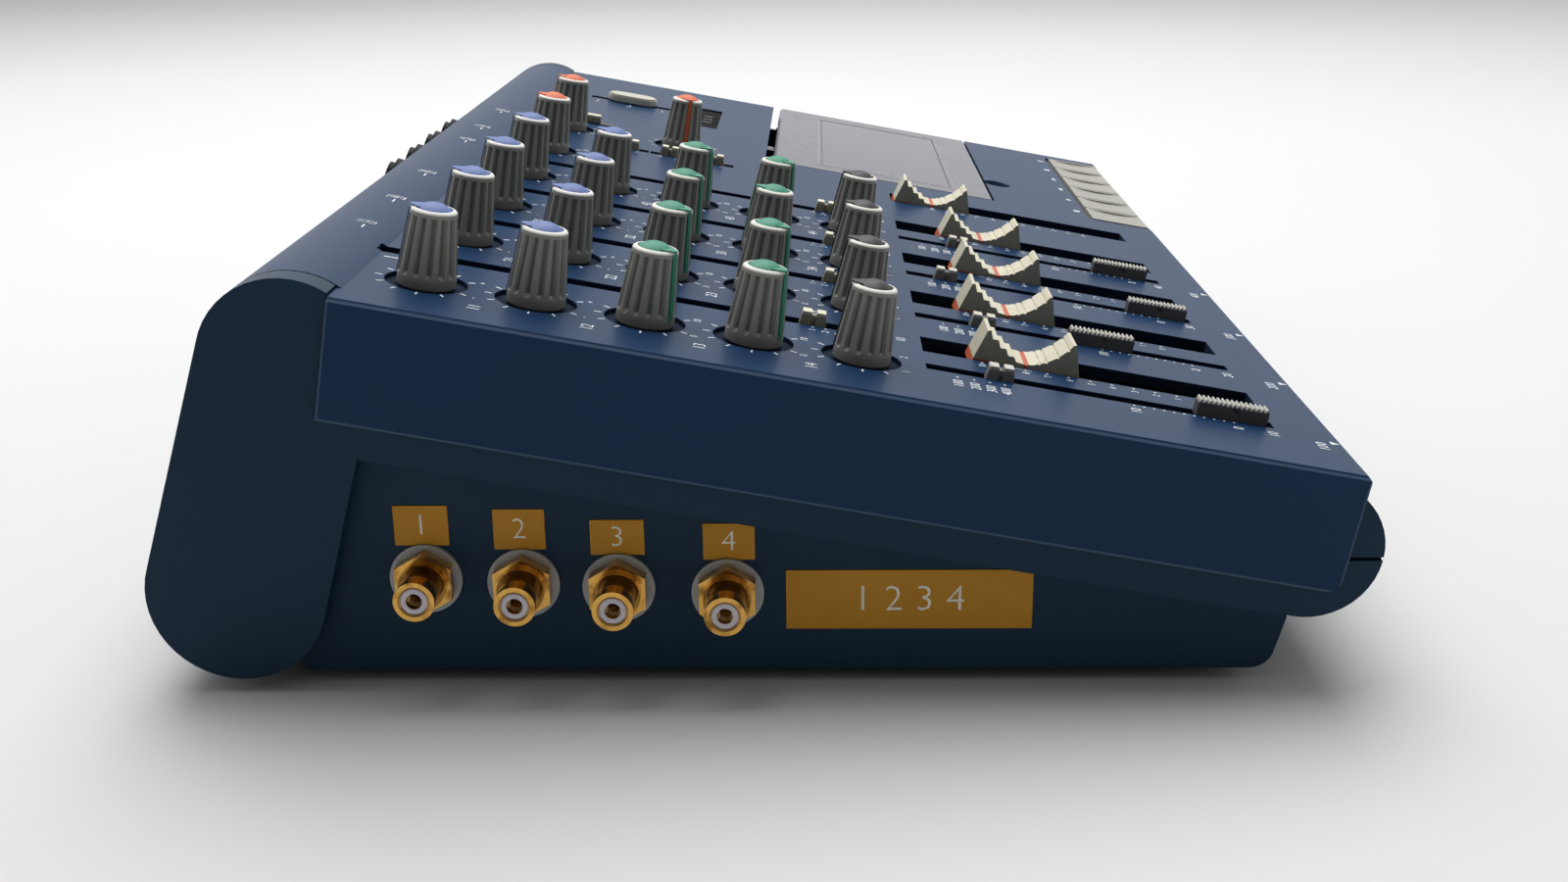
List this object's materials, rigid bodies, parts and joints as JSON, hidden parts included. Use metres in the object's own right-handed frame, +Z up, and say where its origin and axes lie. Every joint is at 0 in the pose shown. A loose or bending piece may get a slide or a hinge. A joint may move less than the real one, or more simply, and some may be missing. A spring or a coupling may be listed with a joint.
{
  "type": "four track cassette recorder",
  "caption": "Desktop recorder with a sloping mixer panel of knobs and faders, a cassette deck under a lifting door with a key bank in front, and side phono jacks.",
  "frame": {"origin": "centre of the base, on the plane the feet stand on", "axes": "+X to the user's right, +Y to the rear, +Z up"},
  "size_m": [0.369, 0.2502, 0.0977],
  "materials": {
    "case_blue": "fine moulded grain",
    "board_green": "bare board with black parts",
    "deck_steel": "pressed plate",
    "feet_rubber": "dull",
    "jack_gold": "gold plated",
    "socket_black": "moulded",
    "knob_blue_cap": "satin, grey skirt",
    "knob_green_cap": "satin, grey skirt",
    "knob_dark_cap": "satin, grey skirt",
    "knob_orange_cap": "satin, grey skirt",
    "fader_white": "satin",
    "trim_grey": "satin",
    "switch_cream": "satin",
    "key_grey": "satin",
    "door_smoked": "glossy, smoked",
    "hub_white": "satin"
  },
  "bodies": {
    "case": {"top_cover": "case_blue", "bottom_cover": "case_blue", "control_board": "board_green", "deck_chassis": "deck_steel", "rubber_feet": "feet_rubber", "tape_out_jacks": "jack_gold", "panel_sockets": "socket_black"},
    "ch1_eq_high_knob": {"ch1_eq_high_knob": "knob_blue_cap"},
    "ch1_eq_low_knob": {"ch1_eq_low_knob": "knob_blue_cap"},
    "ch1_effect_1_knob": {"ch1_effect_1_knob": "knob_green_cap"},
    "ch1_effect_2_knob": {"ch1_effect_2_knob": "knob_green_cap"},
    "ch1_pan_knob": {"ch1_pan_knob": "knob_dark_cap"},
    "ch2_eq_high_knob": {"ch2_eq_high_knob": "knob_blue_cap"},
    "ch2_eq_low_knob": {"ch2_eq_low_knob": "knob_blue_cap"},
    "ch2_effect_1_knob": {"ch2_effect_1_knob": "knob_green_cap"},
    "ch2_effect_2_knob": {"ch2_effect_2_knob": "knob_green_cap"},
    "ch2_pan_knob": {"ch2_pan_knob": "knob_dark_cap"},
    "ch3_eq_high_knob": {"ch3_eq_high_knob": "knob_blue_cap"},
    "ch3_eq_low_knob": {"ch3_eq_low_knob": "knob_blue_cap"},
    "ch3_effect_1_knob": {"ch3_effect_1_knob": "knob_green_cap"},
    "ch3_effect_2_knob": {"ch3_effect_2_knob": "knob_green_cap"},
    "ch3_pan_knob": {"ch3_pan_knob": "knob_dark_cap"},
    "ch4_eq_high_knob": {"ch4_eq_high_knob": "knob_blue_cap"},
    "ch4_eq_low_knob": {"ch4_eq_low_knob": "knob_blue_cap"},
    "ch4_effect_1_knob": {"ch4_effect_1_knob": "knob_green_cap"},
    "ch4_effect_2_knob": {"ch4_effect_2_knob": "knob_green_cap"},
    "ch4_pan_knob": {"ch4_pan_knob": "knob_dark_cap"},
    "effect_return_knob": {"effect_return_knob": "knob_orange_cap"},
    "headphone_knob": {"headphone_knob": "knob_orange_cap"},
    "monitor_knob": {"monitor_knob": "knob_orange_cap"},
    "ch1_fader": {"ch1_fader": "fader_white"},
    "ch2_fader": {"ch2_fader": "fader_white"},
    "ch3_fader": {"ch3_fader": "fader_white"},
    "ch4_fader": {"ch4_fader": "fader_white"},
    "master_fader": {"master_fader": "fader_white"},
    "ch1_trim_slider": {"ch1_trim_slider": "trim_grey"},
    "ch2_trim_slider": {"ch2_trim_slider": "trim_grey"},
    "ch3_trim_slider": {"ch3_trim_slider": "trim_grey"},
    "ch4_trim_slider": {"ch4_trim_slider": "trim_grey"},
    "ch1_input_switch": {"ch1_input_switch": "trim_grey"},
    "ch2_input_switch": {"ch2_input_switch": "trim_grey"},
    "ch3_input_switch": {"ch3_input_switch": "trim_grey"},
    "ch4_input_switch": {"ch4_input_switch": "trim_grey"},
    "ch1_record_switch": {"ch1_record_switch": "switch_cream"},
    "ch2_record_switch": {"ch2_record_switch": "switch_cream"},
    "ch3_record_switch": {"ch3_record_switch": "switch_cream"},
    "ch4_record_switch": {"ch4_record_switch": "switch_cream"},
    "monitor_switch_a": {"monitor_switch_a": "switch_cream"},
    "monitor_switch_b": {"monitor_switch_b": "switch_cream"},
    "monitor_switch_c": {"monitor_switch_c": "switch_cream"},
    "pitch_slider": {"pitch_slider": "switch_cream"},
    "key_record": {"key_record": "key_grey"},
    "key_play": {"key_play": "key_grey"},
    "key_rewind": {"key_rewind": "key_grey"},
    "key_forward": {"key_forward": "key_grey"},
    "key_stop": {"key_stop": "key_grey"},
    "key_pause": {"key_pause": "key_grey"},
    "cassette_door": {"cassette_door": "door_smoked"},
    "supply_hub": {"supply_hub": "hub_white"},
    "take_up_hub": {"take_up_hub": "hub_white"}
  },
  "joints": [
    {"name": "ch1_eq_high_knob_turn", "type": "hinge", "parent": "case", "child": "ch1_eq_high_knob", "pos_m": [-0.1541, 0.06738, 0.0813], "axis": [0, 0.1822, -0.9833], "range_deg": [-150, 150]},
    {"name": "ch1_eq_low_knob_turn", "type": "hinge", "parent": "case", "child": "ch1_eq_low_knob", "pos_m": [-0.1541, 0.04525, 0.0772], "axis": [0, 0.1822, -0.9833], "range_deg": [-150, 150]},
    {"name": "ch1_effect_1_knob_turn", "type": "hinge", "parent": "case", "child": "ch1_effect_1_knob", "pos_m": [-0.1541, 0.02313, 0.0731], "axis": [0, 0.1822, -0.9833], "range_deg": [0, 300]},
    {"name": "ch1_effect_2_knob_turn", "type": "hinge", "parent": "case", "child": "ch1_effect_2_knob", "pos_m": [-0.1541, 0.00101, 0.069], "axis": [0, 0.1822, -0.9833], "range_deg": [0, 300]},
    {"name": "ch1_pan_knob_turn", "type": "hinge", "parent": "case", "child": "ch1_pan_knob", "pos_m": [-0.1541, -0.02112, 0.0649], "axis": [0, 0.1822, -0.9833], "range_deg": [-150, 150]},
    {"name": "ch2_eq_high_knob_turn", "type": "hinge", "parent": "case", "child": "ch2_eq_high_knob", "pos_m": [-0.1116, 0.06738, 0.0813], "axis": [0, 0.1822, -0.9833], "range_deg": [-150, 150]},
    {"name": "ch2_eq_low_knob_turn", "type": "hinge", "parent": "case", "child": "ch2_eq_low_knob", "pos_m": [-0.1116, 0.04525, 0.0772], "axis": [0, 0.1822, -0.9833], "range_deg": [-150, 150]},
    {"name": "ch2_effect_1_knob_turn", "type": "hinge", "parent": "case", "child": "ch2_effect_1_knob", "pos_m": [-0.1116, 0.02313, 0.0731], "axis": [0, 0.1822, -0.9833], "range_deg": [0, 300]},
    {"name": "ch2_effect_2_knob_turn", "type": "hinge", "parent": "case", "child": "ch2_effect_2_knob", "pos_m": [-0.1116, 0.00101, 0.069], "axis": [0, 0.1822, -0.9833], "range_deg": [0, 300]},
    {"name": "ch2_pan_knob_turn", "type": "hinge", "parent": "case", "child": "ch2_pan_knob", "pos_m": [-0.1116, -0.02112, 0.0649], "axis": [0, 0.1822, -0.9833], "range_deg": [-150, 150]},
    {"name": "ch3_eq_high_knob_turn", "type": "hinge", "parent": "case", "child": "ch3_eq_high_knob", "pos_m": [-0.0691, 0.06738, 0.0813], "axis": [0, 0.1822, -0.9833], "range_deg": [-150, 150]},
    {"name": "ch3_eq_low_knob_turn", "type": "hinge", "parent": "case", "child": "ch3_eq_low_knob", "pos_m": [-0.0691, 0.04525, 0.0772], "axis": [0, 0.1822, -0.9833], "range_deg": [-150, 150]},
    {"name": "ch3_effect_1_knob_turn", "type": "hinge", "parent": "case", "child": "ch3_effect_1_knob", "pos_m": [-0.0691, 0.02313, 0.0731], "axis": [0, 0.1822, -0.9833], "range_deg": [0, 300]},
    {"name": "ch3_effect_2_knob_turn", "type": "hinge", "parent": "case", "child": "ch3_effect_2_knob", "pos_m": [-0.0691, 0.00101, 0.069], "axis": [0, 0.1822, -0.9833], "range_deg": [-150, 150]},
    {"name": "ch3_pan_knob_turn", "type": "hinge", "parent": "case", "child": "ch3_pan_knob", "pos_m": [-0.0691, -0.02112, 0.0649], "axis": [0, 0.1822, -0.9833], "range_deg": [-150, 150]},
    {"name": "ch4_eq_high_knob_turn", "type": "hinge", "parent": "case", "child": "ch4_eq_high_knob", "pos_m": [-0.0266, 0.06738, 0.0813], "axis": [0, 0.1822, -0.9833], "range_deg": [-150, 150]},
    {"name": "ch4_eq_low_knob_turn", "type": "hinge", "parent": "case", "child": "ch4_eq_low_knob", "pos_m": [-0.0266, 0.04525, 0.0772], "axis": [0, 0.1822, -0.9833], "range_deg": [-150, 150]},
    {"name": "ch4_effect_1_knob_turn", "type": "hinge", "parent": "case", "child": "ch4_effect_1_knob", "pos_m": [-0.0266, 0.02313, 0.0731], "axis": [0, 0.1822, -0.9833], "range_deg": [0, 300]},
    {"name": "ch4_effect_2_knob_turn", "type": "hinge", "parent": "case", "child": "ch4_effect_2_knob", "pos_m": [-0.0266, 0.00101, 0.069], "axis": [0, 0.1822, -0.9833], "range_deg": [0, 300]},
    {"name": "ch4_pan_knob_turn", "type": "hinge", "parent": "case", "child": "ch4_pan_knob", "pos_m": [-0.0266, -0.02112, 0.0649], "axis": [0, 0.1822, -0.9833], "range_deg": [-150, 150]},
    {"name": "effect_return_knob_turn", "type": "hinge", "parent": "case", "child": "effect_return_knob", "pos_m": [0.0159, 0.06738, 0.0813], "axis": [0, 0.1822, -0.9833], "range_deg": [-150, 150]},
    {"name": "headphone_knob_turn", "type": "hinge", "parent": "case", "child": "headphone_knob", "pos_m": [0.0584, 0.06738, 0.0813], "axis": [0, 0.1822, -0.9833], "range_deg": [-150, 150]},
    {"name": "monitor_knob_turn", "type": "hinge", "parent": "case", "child": "monitor_knob", "pos_m": [0.0584, 0.03149, 0.07465], "axis": [0, 0.1822, -0.9833], "range_deg": [-45, 255]},
    {"name": "ch1_fader_slide", "type": "slide", "parent": "case", "child": "ch1_fader", "axis": [0, 0.9833, 0.1822], "range_m": [-0.0373, 0.0097]},
    {"name": "ch2_fader_slide", "type": "slide", "parent": "case", "child": "ch2_fader", "axis": [0, 0.9833, 0.1822], "range_m": [-0.037, 0.01]},
    {"name": "ch3_fader_slide", "type": "slide", "parent": "case", "child": "ch3_fader", "axis": [0, 0.9833, 0.1822], "range_m": [-0.0351, 0.0119]},
    {"name": "ch4_fader_slide", "type": "slide", "parent": "case", "child": "ch4_fader", "axis": [0, 0.9833, 0.1822], "range_m": [-0.0357, 0.0113]},
    {"name": "master_fader_slide", "type": "slide", "parent": "case", "child": "master_fader", "axis": [0, 0.9833, 0.1822], "range_m": [-0.047, 0]},
    {"name": "ch1_trim_slider_slide", "type": "slide", "parent": "case", "child": "ch1_trim_slider", "axis": [0, 0.9833, 0.1822], "range_m": [-0.001, 0.023]},
    {"name": "ch2_trim_slider_slide", "type": "slide", "parent": "case", "child": "ch2_trim_slider", "axis": [0, 0.9833, 0.1822], "range_m": [-0.0221, 0.0019]},
    {"name": "ch3_trim_slider_slide", "type": "slide", "parent": "case", "child": "ch3_trim_slider", "axis": [0, 0.9833, 0.1822], "range_m": [-0.001, 0.023]},
    {"name": "ch4_trim_slider_slide", "type": "slide", "parent": "case", "child": "ch4_trim_slider", "axis": [0, 0.9833, 0.1822], "range_m": [-0.0035, 0.0205]},
    {"name": "ch1_input_switch_slide", "type": "slide", "parent": "case", "child": "ch1_input_switch", "axis": [0, 0.9833, 0.1822], "range_m": [-0.0009, 0.0091]},
    {"name": "ch2_input_switch_slide", "type": "slide", "parent": "case", "child": "ch2_input_switch", "axis": [0, 0.9833, 0.1822], "range_m": [-0.0006, 0.0094]},
    {"name": "ch3_input_switch_slide", "type": "slide", "parent": "case", "child": "ch3_input_switch", "axis": [0, 0.9833, 0.1822], "range_m": [-0.0063, 0.0037]},
    {"name": "ch4_input_switch_slide", "type": "slide", "parent": "case", "child": "ch4_input_switch", "axis": [0, 0.9833, 0.1822], "range_m": [0, 0.01]},
    {"name": "ch1_record_switch_slide", "type": "slide", "parent": "case", "child": "ch1_record_switch", "axis": [0, 0.9833, 0.1822], "range_m": [-0.0054, 0.0001]},
    {"name": "ch2_record_switch_slide", "type": "slide", "parent": "case", "child": "ch2_record_switch", "axis": [0, 0.9833, 0.1822], "range_m": [-0.0002, 0.0053]},
    {"name": "ch3_record_switch_slide", "type": "slide", "parent": "case", "child": "ch3_record_switch", "axis": [0, 0.9833, 0.1822], "range_m": [0, 0.0055]},
    {"name": "ch4_record_switch_slide", "type": "slide", "parent": "case", "child": "ch4_record_switch", "axis": [0, 0.9833, 0.1822], "range_m": [-0.0021, 0.0034]},
    {"name": "monitor_switch_a_slide", "type": "slide", "parent": "case", "child": "monitor_switch_a", "axis": [0, 0.9833, 0.1822], "range_m": [-0.0025, 0.0025]},
    {"name": "monitor_switch_b_slide", "type": "slide", "parent": "case", "child": "monitor_switch_b", "axis": [0, 0.9833, 0.1822], "range_m": [-0.0025, 0.0025]},
    {"name": "monitor_switch_c_slide", "type": "slide", "parent": "case", "child": "monitor_switch_c", "axis": [0, 0.9833, 0.1822], "range_m": [-0.0025, 0.0025]},
    {"name": "pitch_slider_slide", "type": "slide", "parent": "case", "child": "pitch_slider", "axis": [0, 0.9833, 0.1822], "range_m": [-0.01, 0.01]},
    {"name": "key_record_press", "type": "hinge", "parent": "case", "child": "key_record", "pos_m": [0.1174, -0.09144, 0.04373], "axis": [1, 0, 0], "range_deg": [0, 4], "stiffness_Nm_per_rad": 0.5, "springref_deg": -1.15},
    {"name": "key_play_press", "type": "hinge", "parent": "case", "child": "key_play", "pos_m": [0.1174, -0.09144, 0.04373], "axis": [1, 0, 0], "range_deg": [0, 4], "stiffness_Nm_per_rad": 0.5, "springref_deg": -1.15},
    {"name": "key_rewind_press", "type": "hinge", "parent": "case", "child": "key_rewind", "pos_m": [0.1174, -0.09144, 0.04373], "axis": [1, 0, 0], "range_deg": [0, 4], "stiffness_Nm_per_rad": 0.5, "springref_deg": -1.15},
    {"name": "key_forward_press", "type": "hinge", "parent": "case", "child": "key_forward", "pos_m": [0.1174, -0.09144, 0.04373], "axis": [1, 0, 0], "range_deg": [0, 4], "stiffness_Nm_per_rad": 0.5, "springref_deg": -1.15},
    {"name": "key_stop_press", "type": "hinge", "parent": "case", "child": "key_stop", "pos_m": [0.1174, -0.09144, 0.04373], "axis": [1, 0, 0], "range_deg": [0, 4], "stiffness_Nm_per_rad": 0.5, "springref_deg": -1.15},
    {"name": "key_pause_press", "type": "hinge", "parent": "case", "child": "key_pause", "pos_m": [0.1174, -0.09144, 0.04373], "axis": [1, 0, 0], "range_deg": [0, 4], "stiffness_Nm_per_rad": 0.5, "springref_deg": -1.15},
    {"name": "cassette_door_hinge", "type": "hinge", "parent": "case", "child": "cassette_door", "pos_m": [0.1214, 0.00069, 0.06467], "axis": [-1, 0, 0], "range_deg": [0, 75]},
    {"name": "supply_hub_spin", "type": "hinge", "parent": "case", "child": "supply_hub", "pos_m": [0.10015, -0.03059, 0.04687], "axis": [0, -0.1822, 0.9833], "continuous": true},
    {"name": "take_up_hub_spin", "type": "hinge", "parent": "case", "child": "take_up_hub", "pos_m": [0.14265, -0.03059, 0.04687], "axis": [0, -0.1822, 0.9833], "continuous": true}
  ]
}
